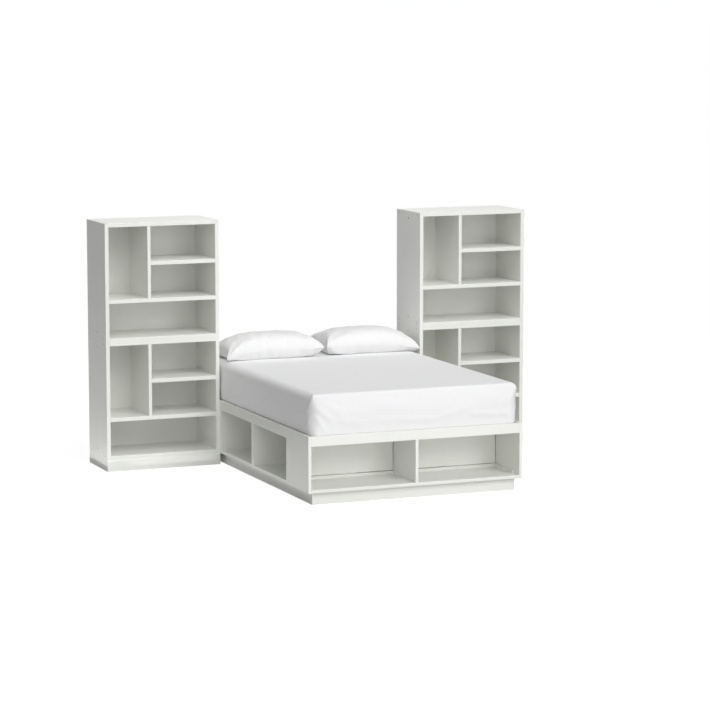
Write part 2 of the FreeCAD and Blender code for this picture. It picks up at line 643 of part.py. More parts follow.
def pillow(left, past_mattress):
    """A pillow with a crown, its long sides and its ends drawn in between four corners."""
    front = MATTRESS_BACK + past_mattress - PILLOW_DEPTH
    bottom = MATTRESS_TOP + SOFT_FIT
    sections = [pillow_section(share, left, front, bottom) for share in PILLOW_STATIONS]
    body = Part.makeLoft(sections, True, False)
    half_depth = PILLOW_DEPTH / 2
    radius = (half_depth ** 2 + PILLOW_DRAWN_IN ** 2) / (2 * PILLOW_DRAWN_IN)
    for end, outward in ((left, -1), (left + PILLOW_LENGTH, 1)):
        axis = Vector(end + outward * (radius - PILLOW_DRAWN_IN), front + half_depth, bottom - SOFT_FIT)
        body = body.cut(rod(axis, Vector(0, 0, 1), 2 * PILLOW_THICKNESS, 2 * radius))
    return body


# ---------------------------------------------------------------- the whole set

def main():
    os.makedirs("parts", exist_ok=True)
    left_screws, left_bolts, left_dowels = write_tower("left_tower", BED_LEFT - TOWER_WIDTH, "right")
    right_screws, right_bolts, right_dowels = write_tower("right_tower", BED_RIGHT, "left")
    bed_holes = [dowel_hole(seam, inward) for seam, inward in bed_dowel_seams()]
    bed_dowels = [dowel(seam, inward) for seam, inward in bed_dowel_seams()]
    write("toe_kick_frame", *toe_kick_boards())
    write_foot_unit(bed_holes)
    bed_screws = write_side_units(bed_holes)
    tie_bolts = write_head_end(bed_holes)
    write_deck()
    write("dowels", *(left_dowels + right_dowels + bed_dowels))
    write("confirmat_screws", *(left_screws + right_screws + bed_screws))
    write("connector_bolts", *(left_bolts + right_bolts + tie_bolts))
    write("mattress", mattress())
    between = PILLOWS_OFF_CENTRE
    write("left_pillow", pillow(between - PILLOW_GAP / 2 - PILLOW_LENGTH, LEFT_PILLOW_PAST_MATTRESS))
    write("right_pillow", pillow(between + PILLOW_GAP / 2, RIGHT_PILLOW_PAST_MATTRESS))


main()
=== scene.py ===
import math

import bpy
import numpy as np
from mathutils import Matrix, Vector


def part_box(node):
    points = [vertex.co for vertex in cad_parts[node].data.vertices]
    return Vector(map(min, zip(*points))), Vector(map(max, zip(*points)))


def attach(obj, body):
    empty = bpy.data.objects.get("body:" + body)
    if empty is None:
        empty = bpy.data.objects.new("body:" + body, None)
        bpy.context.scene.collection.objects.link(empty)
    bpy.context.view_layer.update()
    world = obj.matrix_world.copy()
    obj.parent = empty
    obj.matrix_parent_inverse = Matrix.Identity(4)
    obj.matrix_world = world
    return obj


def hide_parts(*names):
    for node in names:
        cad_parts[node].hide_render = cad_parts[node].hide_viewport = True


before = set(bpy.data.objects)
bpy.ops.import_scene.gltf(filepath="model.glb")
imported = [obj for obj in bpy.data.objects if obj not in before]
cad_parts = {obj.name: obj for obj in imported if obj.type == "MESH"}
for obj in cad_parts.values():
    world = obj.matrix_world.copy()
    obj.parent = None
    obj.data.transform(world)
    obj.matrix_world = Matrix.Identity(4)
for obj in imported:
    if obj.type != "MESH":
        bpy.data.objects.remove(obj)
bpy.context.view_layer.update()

# A white storage bed between two open bookcase towers, made up with a mattress and two pillows.
# Metres, in the part's own frame: X across the bed, Y from the foot to the wall, Z up.

BODY = "root"
MM = 0.001

# ---------------------------------------------------------------- camera

# Solved from the straight edges of the boards in the photograph.
CAMERA_PLACE = (-6.7328, -16.4117, 3.1670)
CAMERA_DOWN = math.radians(7.689)
CAMERA_TO_RIGHT = math.radians(22.297)
SENSOR_WIDTH = 36.0
LENS = 139.21


def set_camera():
    """A level long-lens camera in front of the foot of the bed, to its left."""
    data = bpy.data.cameras.new("camera")
    data.sensor_width = SENSOR_WIDTH
    data.lens = LENS
    data.clip_end = 2000
    camera = bpy.data.objects.new("camera", data)
    camera.location = CAMERA_PLACE
    camera.rotation_euler = (math.pi / 2 - CAMERA_DOWN, 0, -CAMERA_TO_RIGHT)
    bpy.context.scene.collection.objects.link(camera)
    bpy.context.scene.camera = camera


# ---------------------------------------------------------------- small tools

def linear(colour):
    """A hex sRGB colour, such as "#ECEDE7", as linear RGBA."""
    values = [int(colour[at:at + 2], 16) / 255 for at in (1, 3, 5)]
    return [v / 12.92 if v <= 0.04045 else ((v + 0.055) / 1.055) ** 2.4 for v in values] + [1.0]


def add(tree, kind, links=None, **settings):
    """Add a node. A setting is a property of the node or the value of one of its sockets."""
    node = tree.nodes.new("ShaderNode" + kind)
    for name, value in settings.items():
        if hasattr(node, name):
            setattr(node, name, value)
        else:
            node.inputs[name.replace("_", " ")].default_value = value
    for name, source in (links or {}).items():
        tree.links.new(source, node.inputs[name])
    return node


def new_material(name, **shader_values):
    """A material with an empty tree but for its shader and its output."""
    material = bpy.data.materials.new(name)
    material.use_nodes = True
    tree = material.node_tree
    tree.nodes.clear()
    shader = add(tree, "BsdfPrincipled")
    for socket, value in shader_values.items():
        shader.inputs[socket.replace("_", " ")].default_value = value
    add(tree, "OutputMaterial", {"Surface": shader.outputs[0]})
    return material, tree, shader


def two_tones(tree, shader, factor, first, second):
    """Colour a surface between two shades, by a factor from 0 to 1."""
    tone = add(tree, "Mix", {"Factor": factor}, data_type="RGBA")
    tone.inputs["A"].default_value = linear(first)
    tone.inputs["B"].default_value = linear(second)
    tree.links.new(tone.outputs["Result"], shader.inputs["Base Color"])


def bumps(tree, shader, height, strength, distance):
    """Give a surface bumps too small for its mesh."""
    bump = add(tree, "Bump", {"Height": height}, Strength=strength, Distance=distance)
    tree.links.new(bump.outputs["Normal"], shader.inputs["Normal"])


def smooth_step(t):
    """0 before 0, 1 after 1, and 3t² - 2t³ between."""
    t = np.clip(t, 0, 1)
    return t * t * (3 - 2 * t)


def mesh_object(name, points, faces, smooth=True):
    """A new object at the origin with its place in its mesh."""
    mesh = bpy.data.meshes.new(name)
    mesh.from_pydata(points.tolist(), [], faces if isinstance(faces, list) else faces.tolist())
    mesh.polygons.foreach_set("use_smooth", np.full(len(mesh.polygons), smooth))
    mesh.update()
    made = bpy.data.objects.new(name, mesh)
    bpy.context.scene.collection.objects.link(made)
    return made


# ---------------------------------------------------------------- materials of the boards and fasteners

# How many lumps, rings or crystals of each pattern there are in a metre, and how high each relief stands.
LACQUER_CLOUDS = 7.0
ORANGE_PEEL_LUMPS = 330.0
ORANGE_PEEL_HEIGHT = 0.2 * MM
PINE_RINGS = 260
BEECH_RINGS = 900
WOOD_DRIFT = 9.0
WOOD_PORES = 1400.0
WOOD_PORE_DEPTH = 0.2 * MM
# Wood's pattern is this much shorter across the grain than along it.
GRAIN_STRETCH = 0.06
# A wave texture of scale 1 turns 20 radians in a metre.
WAVE_TURN = 2 * math.pi / 20
ZINC_CRYSTALS = 900.0
MOULD_LUMPS = 1500.0
MOULD_HEIGHT = 0.05 * MM


def sprayed_lacquer():
    """Satin lacquer sprayed on fibreboard: an even warm white, a soft sheen, and a very fine orange peel.

    The film is a little thicker here and thinner there, in clouds about 150 mm wide, and the orange peel
    has lumps about 3 mm wide.
    """
    material, tree, shader = new_material("sprayed_satin_lacquer", IOR=1.5)
    place = add(tree, "TexCoord").outputs["Object"]
    clouds = add(tree, "TexNoise", {"Vector": place}, Scale=LACQUER_CLOUDS, Detail=3.0).outputs["Fac"]
    two_tones(tree, shader, clouds, "#EAEBE6", "#EEEFEA")
    peel = add(tree, "TexNoise", {"Vector": place}, Scale=ORANGE_PEEL_LUMPS, Detail=1.0)
    bumps(tree, shader, peel.outputs["Fac"], 0.12, ORANGE_PEEL_HEIGHT)
    sheen = add(tree, "MapRange", {"Value": clouds}, To_Min=0.36, To_Max=0.46)
    tree.links.new(sheen.outputs["Result"], shader.inputs["Roughness"])
    return material


def planed_wood(name, early, late, rings_per_metre, roughness):
    """Planed bare wood with its grain along X: bands of pale early wood and darker late wood, and pores."""
    material, tree, shader = new_material(name, IOR=1.5, Roughness=roughness)
    place = add(tree, "TexCoord").outputs["Object"]
    stretched = add(tree, "Mapping", {"Vector": place})
    stretched.inputs["Scale"].default_value = (GRAIN_STRETCH, 1, 1)
    along = stretched.outputs[0]
    drift = add(tree, "TexNoise", {"Vector": along}, Scale=WOOD_DRIFT, Detail=2.0)
    rings = add(tree, "TexWave", {"Vector": along}, bands_direction="Y",
                Scale=rings_per_metre * WAVE_TURN, Distortion=6.0, Detail=3.0)
    grain = add(tree, "Math", {0: rings.outputs["Fac"], 1: drift.outputs["Fac"]}, operation="MULTIPLY")
    two_tones(tree, shader, grain.outputs[0], early, late)
    pores = add(tree, "TexNoise", {"Vector": along}, Scale=WOOD_PORES, Detail=2.0)
    bumps(tree, shader, pores.outputs["Fac"], 0.2, WOOD_PORE_DEPTH)
    return material


def zinc_plated_steel():
    """Bright zinc plate on steel: grey, with a fine crystal mottle and a soft metal gloss."""
    material, tree, shader = new_material("zinc_plated_steel", Metallic=1.0)
    place = add(tree, "TexCoord").outputs["Object"]
    crystals = add(tree, "TexVoronoi", {"Vector": place}, Scale=ZINC_CRYSTALS).outputs["Distance"]
    two_tones(tree, shader, crystals, "#B9BBBD", "#A3A5A6")
    gloss = add(tree, "MapRange", {"Value": crystals}, To_Min=0.3, To_Max=0.42)
    tree.links.new(gloss.outputs["Result"], shader.inputs["Roughness"])
    return material


def moulded_polythene():
    """White moulded polythene: a waxy white with the faint grain of the mould."""
    material, tree, shader = new_material("moulded_white_polythene", IOR=1.51, Roughness=0.45)
    place = add(tree, "TexCoord").outputs["Object"]
    grain = add(tree, "TexNoise", {"Vector": place}, Scale=MOULD_LUMPS, Detail=2.0).outputs["Fac"]
    two_tones(tree, shader, grain, "#E9EAE5", "#EFEFEB")
    bumps(tree, shader, grain, 0.2, MOULD_HEIGHT)
    return material


def paint_boards():
    """Give every board, dowel and fastener of the frame its finish."""
    finishes = {
        "white_paint": sprayed_lacquer(),
        "bare_softwood": planed_wood("planed_pine", "#E0C79B", "#C29B63", PINE_RINGS, 0.6),
        "beech": planed_wood("turned_beech", "#D6AE84", "#B98D62", BEECH_RINGS, 0.5),
        "zinc_steel": zinc_plated_steel(),
    }
    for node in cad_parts.values():
        for place in node.material_slots:
            if place.material.name in finishes:
                place.material = finishes[place.material.name]


# ---------------------------------------------------------------- cover caps

CAP_HALF_WIDTH = 9.5 * MM
CAP_HEIGHT = 3.2 * MM
CAP_POINTS_ROUND = 48
CAP_RINGS = 12
CAP_POWER = 3
BOLT_ABOVE_BOARD = 48.5 * MM


def cover_cap(name, board, outward, finish):
    """A cap over the head of the bolt that ties a tower to the bed, on the inner face of the tower's side.

    Its section is a quarter of a superellipse of power CAP_POWER, turned round the bolt's axis and closed by
    a disc. outward is 1 or -1, for a face towards +X or -X.
    """
    low, high = (np.array(corner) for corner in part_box(board))
    face = low[0] if outward < 0 else high[0]
    share = np.linspace(0, math.pi / 2, CAP_RINGS)
    radius = CAP_HALF_WIDTH * np.cos(share) ** (2 / CAP_POWER)
    height = CAP_HEIGHT * np.sin(share) ** (2 / CAP_POWER)
    turn = np.arange(CAP_POINTS_ROUND) * 2 * math.pi / CAP_POINTS_ROUND
    ring = np.stack([np.zeros_like(turn), np.cos(turn), np.sin(turn) * outward], axis=1)
    rings = ring * radius[:-1, None, None] + np.array([outward, 0, 0]) * height[:-1, None, None]
    poles = np.array([[outward * CAP_HEIGHT, 0, 0], [0, 0, 0]])
    middle = np.array([face, (low[1] + high[1]) / 2, low[2] + BOLT_ABOVE_BOARD])
    points = np.concatenate([rings.reshape(-1, 3), poles]) + middle
    start = np.arange(CAP_RINGS - 2)[:, None] * CAP_POINTS_ROUND + np.arange(CAP_POINTS_ROUND)
    after = np.roll(start, -1, axis=1)
    corners = (start, after, after + CAP_POINTS_ROUND, start + CAP_POINTS_ROUND)
    quads = np.stack(corners, axis=2).reshape(-1, 4)
    last = start[-1] + CAP_POINTS_ROUND
    top = len(points) - 2
    fan = np.stack([last, np.roll(last, -1), np.full_like(last, top)], axis=1)
    base = np.stack([np.roll(start[0], -1), start[0], np.full_like(start[0], top + 1)], axis=1)
    made = mesh_object(name, points, quads.tolist() + fan.tolist() + base.tolist())
    made.data.materials.append(finish)
    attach(made, BODY)


# ---------------------------------------------------------------- bedding fabrics

THREADS_PER_METRE = 3900
THREAD_HEIGHT = 0.115 * MM
SLUBS_PER_METRE = 22.0


def plain_weave(tree, place):
    """Heights of a plain weave: warp and weft cross as a product of two sine waves, half a turn a thread."""
    axes = add(tree, "SeparateXYZ", {"Vector": place})
    waves = []
    for axis in ("X", "Y"):
        turns = add(tree, "Math", {0: axes.outputs[axis]}, operation="MULTIPLY")
        turns.inputs[1].default_value = math.pi * THREADS_PER_METRE
        waves.append(add(tree, "Math", {0: turns.outputs[0]}, operation="SINE").outputs[0])
    return add(tree, "Math", {0: waves[0], 1: waves[1]}, operation="MULTIPLY").outputs[0]


def woven_cotton(name, shade, light, bloom):
    """Woven cotton: a dry white with a fine weave, faint slubs and the soft bloom of loose fibres."""
    material, tree, shader = new_material(name, IOR=1.45, Roughness=0.9, Sheen_Weight=bloom,
                                          Sheen_Roughness=0.5)
    place = add(tree, "TexCoord").outputs["Object"]
    slubs = add(tree, "TexNoise", {"Vector": place}, Scale=SLUBS_PER_METRE, Detail=4.0, Roughness=0.6)
    two_tones(tree, shader, slubs.outputs["Fac"], shade, light)
    bumps(tree, shader, plain_weave(tree, place), 0.25, THREAD_HEIGHT)
    return material


# ---------------------------------------------------------------- shapes of the bedding

def box_grid(counts):
    """The surface of a box as a grid of squares.

    Returns each point's three whole-number coordinates, from 0 to the counts, and the faces. The six sides
    are made one by one as rows and columns of points, and points with the same coordinates become one.
    """
    points = []
    faces = []
    total = 0
    for axis in range(3):
        u_axis = (axis + 1) % 3
        v_axis = (axis + 2) % 3
        u, v = np.meshgrid(np.arange(counts[u_axis] + 1), np.arange(counts[v_axis] + 1), indexing="ij")
        number = np.arange(u.size).reshape(u.shape)
        corners = (number[:-1, :-1], number[1:, :-1], number[1:, 1:], number[:-1, 1:])
        quads = np.stack([c.ravel() for c in corners], axis=1)
        for level, order in ((0, quads[:, ::-1]), (counts[axis], quads)):
            side = np.empty((u.size, 3), int)
            side[:, axis] = level
            side[:, u_axis] = u.ravel()
            side[:, v_axis] = v.ravel()
            points.append(side)
            faces.append(order + total)
            total += u.size
    unique, place = np.unique(np.concatenate(points), axis=0, return_inverse=True)
    return unique, place.ravel()[np.concatenate(faces)]


def graded(count, half, edge_cells, edge_step):
    """Places of count + 1 grid lines from -half to half, edge_step apart near both ends, wider between."""
    edge = half - edge_step * np.arange(edge_cells)
    middle = np.linspace(edge[-1], -edge[-1], count - 2 * edge_cells + 3)[1:-1]
    return np.concatenate([-edge, -middle, edge[::-1]])


def soft_block(half, lines, edge_radius, corner_radius):
    """A block with rounded edges and corners, round its middle, from the places of its grid lines.

    A point's inset from the rim and its depth below the top or above the bottom turn into a quarter circle
    of edge_radius(point). Then each level's outline gets corners of corner_radius(height), less the inset.
    """
    number, faces = box_grid([len(places) - 1 for places in lines])
    box = np.stack([lines[axis][number[:, axis]] for axis in range(3)], axis=1)
    inset = np.maximum(np.min(half[:2] - np.abs(box[:, :2]), axis=1), 0)
    depth = np.maximum(half[2] - np.abs(box[:, 2]), 0)
    radius = edge_radius(box)
    from_inset = np.maximum(radius - inset, 0)
    from_depth = np.maximum(radius - depth, 0)
    at_edge = (from_inset > 0) & (from_depth > 0)
    reach = np.hypot(from_inset, from_depth) + 1e-12
    longest = np.maximum(from_inset, from_depth)
    new_inset = np.where(at_edge, radius - from_inset * longest / reach, inset)
    new_depth = np.where(at_edge, radius - from_depth * longest / reach, depth)
    points = box.copy()
    points[:, 2] = np.sign(box[:, 2]) * (half[2] - new_depth)
    for axis in range(2):
        points[:, axis] *= (half[axis] - new_inset) / np.maximum(half[axis] - inset, 1e-9)
    corner = np.maximum(corner_radius(points[:, 2]) - new_inset, 0)
    straight = np.maximum(half[:2] - (new_inset + corner)[:, None], 0)
    core = np.clip(points[:, :2], -straight, straight)
    out = points[:, :2] - core
    length = np.hypot(out[:, 0], out[:, 1])
    longest = np.abs(out).max(axis=1)
    in_corner = (np.abs(out) > 1e-9).all(axis=1)
    points[:, :2] = core + out * np.where(in_corner, longest / np.maximum(length, 1e-12), 1)[:, None]
    return points, faces


# ---------------------------------------------------------------- mattress

SIDE_EDGE = 46 * MM
FOOT_EDGE = 17 * MM
BOTTOM_EDGE = 8 * MM
RIGHT_END_ROUNDING = 75 * MM
CORNER_AT_TOP = 15 * MM
CORNER_BELOW = 52 * MM
# From this height over the mattress's middle down, and over this much of it, its corners get wider.
CORNER_WIDENS_FROM = 116 * MM
CORNER_WIDENS_OVER = 70 * MM
SIDE_BULGE = 13 * MM
FOOT_BULGE = 25 * MM
# The profile of a face: where it is fullest, from -1 at its bottom to 1 at its top, and how much of its
# bulge is left at the top and at the bottom.
SIDE_PROFILE = (-0.3, 0.0, 0.4)
FOOT_PROFILE = (0.1, 0.25, 0.05)
RIDGE_SOFTNESS = 0.15
CORNER_TAKES = 0.9
CORNER_POWER = 9
# A point belongs to a face in this last share of the way out to it.
FACE_SHARE = 0.07
# The folds fade out in this share of the half height, under the top.
FOLDS_FADE_OVER = 0.25
FOLD_END_POWER = 0.7
INSIDE_RIM = 1.5 * MM
RIM_ROLL = 3.5 * MM
MATTRESS_CROWN = 5 * MM
CROWN_POWER = 4
# The crown ends this far before the pillows, which press the mattress flat.
BEFORE_PILLOWS = 250 * MM
PILLOW_FRONT = min(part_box(node)[0][1] for node in ("left_pillow", "right_pillow"))
RIM_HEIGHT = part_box("foot_rail")[1][2]
MATTRESS_LOW, MATTRESS_HIGH = (np.array(corner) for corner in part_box("mattress"))
MATTRESS_MIDDLE = (MATTRESS_LOW + MATTRESS_HIGH) / 2
MATTRESS_HALF = (MATTRESS_HIGH - MATTRESS_LOW) / 2
# The grid lines of the mattress across, along and up: how many cells in all, how many near each end, and
# how far apart those are.
MATTRESS_GRID = ((128, 24, 6 * MM), (124, 16, 6 * MM), (56, 14, 2.5 * MM))


def mattress_edge(box):
    """Radius of the top and bottom edges: rounder along the sides than along the foot and the head.

    At its right end the foot's edge grows to the side's radius.
    """
    inset = np.maximum(MATTRESS_HALF[:2] - np.abs(box[:, :2]), 0) + 1e-6
    at_foot = smooth_step(inset[:, 0] / inset.sum(axis=1))
    right = box[:, 0] > 0
    at_foot *= np.where(right, smooth_step(inset[:, 0] / RIGHT_END_ROUNDING), 1)
    top = SIDE_EDGE + (FOOT_EDGE - SIDE_EDGE) * at_foot
    return np.where(box[:, 2] > 0, top, BOTTOM_EDGE)


def mattress_corner(height):
    """Corner radius: small under the top edge, where the cover is pulled tight, and wide below it."""
    below_top = smooth_step((CORNER_WIDENS_FROM - height) / CORNER_WIDENS_OVER)
    return CORNER_AT_TOP + (CORNER_BELOW - CORNER_AT_TOP) * below_top


def fullness(height, fullest_at, at_top, at_bottom):
    """How far a face stands out, as a share of its bulge.

    It is 1 where the face is fullest and falls to at_top and at_bottom, half as a line, with a soft ridge
    where the lines meet, and half as a parabola.
    """
    above = height > fullest_at
    share = np.abs(height - fullest_at) / np.where(above, 1 - fullest_at, 1 + fullest_at)
    line = np.hypot(share, RIDGE_SOFTNESS) - RIDGE_SOFTNESS
    return 1 - (line + share ** 2) / 2 * np.where(above, 1 - at_top, 1 - at_bottom)


def crease(along, up, start, end, width, height):
    """A soft ridge on a face from start to end: a bell across its line, which fades in and out along it."""
    run = np.array(end, float) - np.array(start, float)
    length = np.hypot(*run)
    run = run / length
    from_start = (along - start[0]) * run[0] + (up - start[1]) * run[1]
    aside = (up - start[1]) * run[0] - (along - start[0]) * run[1]
    share = np.clip(from_start / length, 0, 1)
    return height * np.sin(math.pi * share) ** FOLD_END_POWER * np.exp(-(aside / width) ** 2)


# Folds of the cover, as (start, end, width, height), in millimetres on a face: along it from its middle,
# and up from the mattress's own middle. Those at the ends fan out from the cover's pulled corners.
FOOT_FOLDS = (
    ((-700, 74), (-545, -52), 17, 6.0),
    ((-688, 14), (-585, -128), 15, 5.0),
    ((-672, 98), (-470, -6), 22, 3.5),
    ((-540, -30), (-330, -70), 24, 4.0),
    ((-360, 62), (-60, 40), 36, 4.0),
    ((-270, -52), (130, -62), 21, 5.0),
    ((60, -78), (400, 10), 22, 5.0),
    ((350, -44), (610, -62), 17, 6.5),
    ((380, 58), (690, 36), 36, 4.0),
    ((560, -34), (690, -112), 16, 5.5),
    ((690, 96), (600, -10), 18, 5.0),
)
SIDE_FOLDS = (
    ((-970, 96), (-850, -60), 18, 4.5),
    ((-950, 10), (-880, -120), 16, 4.0),
    ((-760, 84), (-640, -20), 24, 3.5),
    ((-600, 70), (-500, 0), 22, 3.0),
    ((-300, 90), (-180, 20), 24, 3.0),
    ((-420, -60), (60, -104), 30, 2.4),
    ((120, 80), (300, 14), 28, 2.6),
    ((420, -50), (860, -100), 30, 2.4),
    ((960, 96), (860, -40), 18, 4.5),
)


def face_folds(folds, along, up):
    """The height of all the folds of one face."""
    total = np.zeros(len(along))
    for start, end, width, height in folds:
        total += crease(along / MM, up / MM, start, end, width, height) * MM
    return total


def make_mattress():
    """A mattress in a fitted cover: a soft block with full faces, which stays inside the rim below it.

    A face's bulge is its profile's, less CORNER_TAKES of it at a corner, with the CORNER_POWER-th power of
    the way there, and the folds are added. Under the rim the faces keep to their own place, and over it they
    roll out within RIM_ROLL. The crown is a product of 1 - x⁴ and 1 - y⁴.
    """
    lines = [graded(count, side, near_end, step)
             for side, (count, near_end, step) in zip(MATTRESS_HALF, MATTRESS_GRID)]
    points, faces = soft_block(MATTRESS_HALF, lines, mattress_edge, mattress_corner)
    share = points / MATTRESS_HALF
    facing = smooth_step((np.abs(share[:, :2]) - 1) / FACE_SHARE + 1) * np.sign(share[:, :2])
    corners = 1 - CORNER_TAKES * np.abs(share[:, 1::-1]) ** CORNER_POWER
    bulge = np.stack([SIDE_BULGE * fullness(share[:, 2], *SIDE_PROFILE),
                      FOOT_BULGE * fullness(share[:, 2], *FOOT_PROFILE)], axis=1) * corners
    folds = np.stack([face_folds(SIDE_FOLDS, points[:, 1], points[:, 2]),
                      face_folds(FOOT_FOLDS, points[:, 0], points[:, 2])], axis=1)
    folds *= smooth_step((1 - share[:, 2]) / FOLDS_FADE_OVER)[:, None]
    over_rim = smooth_step((points[:, 2] + MATTRESS_MIDDLE[2] - RIM_HEIGHT) / RIM_ROLL)[:, None]
    points[:, :2] += facing * (INSIDE_RIM + (bulge + folds - INSIDE_RIM) * over_rim)
    crown = np.prod(np.clip(1 - share[:, :2] ** CROWN_POWER, 0, 1), axis=1)
    crown *= smooth_step(share[:, 2] * 2 - 1)
    crown *= smooth_step((PILLOW_FRONT - MATTRESS_MIDDLE[1] - points[:, 1]) / BEFORE_PILLOWS)
    points[:, 2] += MATTRESS_CROWN * crown
    made = mesh_object("mattress_in_fitted_cover", points + MATTRESS_MIDDLE, faces)
    made.data.materials.append(woven_cotton("sateen_cotton_cover", "#EFEFF0", "#F4F4F5", 0.15))
    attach(made, BODY)
    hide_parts("mattress")


# ---------------------------------------------------------------- pillows

PILLOW_CELL = 8.5 * MM
RIM_EASE = 0.85 * math.pi / 2
PILLOW_SEAM = 66 * MM
PILLOW_DRAWN_IN = 18 * MM
PILLOW_START_THICKNESS = 0.945
PILLOW_END_POWER = 3
PILLOW_FRONT_POWER = 2.2
SEAM_POWER = 3
# The lower layer lies flat where the pillow has this share of its fullness, and more.
FLAT_FROM = 0.88
CLOTH_UNEVENNESS = 0.4 * MM
CLOTH_FRAMES = 20
CLOTH_REACH = 14 * MM
REST_SOFTNESS = 14 * MM
# The slack's waves: how many, how long in millimetres, how steep, and how far their direction turns.
SLACK_WAVES = 16
SLACK_LENGTHS = (45, 130)
SLACK_SLOPE = 0.005
SLACK_TURN = 0.6
# The folds that fan out from a corner: their reach in millimetres, height, and turns in a radian.
FAN_REACH = 70
FAN_HEIGHT = 4.5 * MM
FAN_FOLDS = 7.0


def two_layers(cells):
    """Two layers of squares, joined all round at their rim.

    Returns each point's place in the layer from -1 to 1 both ways, whether it is in the upper layer, whether
    it is on the rim, and the faces. The squares get narrower towards the rim, as the sine of their number.
    """
    number, faces = box_grid((cells[0], cells[1], 1))
    place = 2 * number[:, :2] / np.array(cells) - 1
    rim = (np.abs(place) == 1).any(axis=1)
    joined = np.column_stack([number[:, :2], np.where(rim, 0, number[:, 2])])
    unique, first, merged = np.unique(joined, axis=0, return_index=True, return_inverse=True)
    faces = merged.ravel()[faces]
    whole = (faces != np.roll(faces, 1, axis=1)).all(axis=1)
    place = np.sin(place[first] * RIM_EASE) / math.sin(RIM_EASE)
    return place, unique[:, 2] > 0, rim[first], faces[whole]


def filled_case(half, left_corner, right_corner):
    """A filled pillowcase on a flat surface, in its own place: x and y round its middle, z from the surface.

    The rim is drawn in by a parabola between its corners, and its height runs from the seam's to that of the
    corners with the cube of x. Both layers leave it as the root of (1 - |x|³)(1 - |y|^2.2), and the lower
    one comes down to lie flat.
    """
    cells = [int(2 * side / PILLOW_CELL) for side in half[:2]]
    place, upper, rim, faces = two_layers(cells)
    along, across = place.T
    ends = 1 - np.abs(along) ** PILLOW_END_POWER
    fronts = 1 - np.abs(across) ** PILLOW_FRONT_POWER
    full = np.sqrt(np.clip(ends * fronts, 0, 1))
    corner = np.where(along < 0, left_corner, right_corner)
    seam = PILLOW_SEAM + (corner - PILLOW_SEAM) * np.abs(along) ** SEAM_POWER
    crown = seam + (2 * half[2] * PILLOW_START_THICKNESS - PILLOW_SEAM) * full
    flat = seam * (1 - smooth_step(full / FLAT_FROM))
    points = np.column_stack([
        along * (half[0] - PILLOW_DRAWN_IN * (1 - across ** 2)),
        across * (half[1] - PILLOW_DRAWN_IN * (1 - along ** 2)),
        np.where(rim, seam, np.where(upper, crown, flat)),
    ])
    return points, faces, place * half[:2]


def slack_folds(cloth, half, rng):
    """Heights of the folds in a case that isn't drawn tight, from each point's place in the flat cloth.

    Soft lumps are a sum of sine waves, mostly across the width. At each corner ridges fan out, as a sine of
    the angle about the corner, strongest at FAN_REACH from it.
    """
    length = rng.uniform(*SLACK_LENGTHS, SLACK_WAVES)
    turn = rng.normal(0, SLACK_TURN, SLACK_WAVES)
    start = rng.uniform(0, 2 * math.pi, SLACK_WAVES)
    direction = np.stack([np.cos(turn), np.sin(turn)]) * 2 * math.pi / length
    total = (np.sin(cloth / MM @ direction + start) * length * SLACK_SLOPE).sum(axis=1) * MM
    for across in (-1, 1):
        for along in (-1, 1):
            away = (half[:2] - cloth * np.array([along, across])) / MM
            distance = np.hypot(*away.T) / FAN_REACH
            angle = np.arctan2(away[:, 1], away[:, 0])
            ridges = np.sin(FAN_FOLDS * angle + rng.uniform(0, 2 * math.pi))
            total += FAN_HEIGHT * ridges * distance * np.exp(1 - distance)
    return total


def mesh_points(thing):
    """The points of an object's mesh, as its modifiers leave them."""
    mesh = thing.evaluated_get(bpy.context.evaluated_depsgraph_get()).data
    values = np.empty(3 * len(mesh.vertices))
    mesh.vertices.foreach_get("co", values)
    return values.reshape(-1, 3)


def mesh_normals(thing):
    """The normals of an object's own mesh at its points."""
    values = np.empty(3 * len(thing.data.vertices))
    thing.data.vertex_normals.foreach_get("vector", values)
    return values.reshape(-1, 3)


def blow_up(made, start):
    """Fill a case by a cloth simulation, with fabric 3 % larger than its start, and return its points.

    A point that moved by d goes tanh(d / reach) of the reach, so that none goes further than that.
    """
    cloth = made.modifiers.new("cloth", "CLOTH")
    fabric = cloth.settings
    fabric.quality = 6
    fabric.mass = 0.3
    fabric.tension_stiffness = fabric.compression_stiffness = 30
    fabric.shear_stiffness = 10
    fabric.bending_stiffness = 0.3
    fabric.tension_damping = fabric.compression_damping = 15
    fabric.shear_damping = 5
    fabric.shrink_min = -0.03
    fabric.use_pressure = True
    fabric.uniform_pressure_force = 2
    fabric.effector_weights.gravity = 0
    cloth.collision_settings.use_collision = False
    for number in range(1, CLOTH_FRAMES + 1):
        bpy.context.scene.frame_set(number)
    moved = mesh_points(made) - start
    bpy.context.scene.frame_set(1)
    made.modifiers.remove(cloth)
    distance = np.linalg.norm(moved, axis=1) + 1e-12
    return start + moved * (CLOTH_REACH * np.tanh(distance / CLOTH_REACH) / distance)[:, None]


def place_points(made, points):
    """Put the points of an object's mesh in new places."""
    made.data.vertices.foreach_set("co", points.ravel())
    made.data.update()


def laid_flat(points):
    """Points near the surface or below it are pressed flat, by an exponential that leaves 0 at 0."""
    height = points[:, 2]
    below = np.minimum(height - REST_SOFTNESS, 0)
    pressed = np.where(height < REST_SOFTNESS, REST_SOFTNESS * np.exp(below / REST_SOFTNESS), height)
    points[:, 2] = pressed - REST_SOFTNESS / math.e
    return points


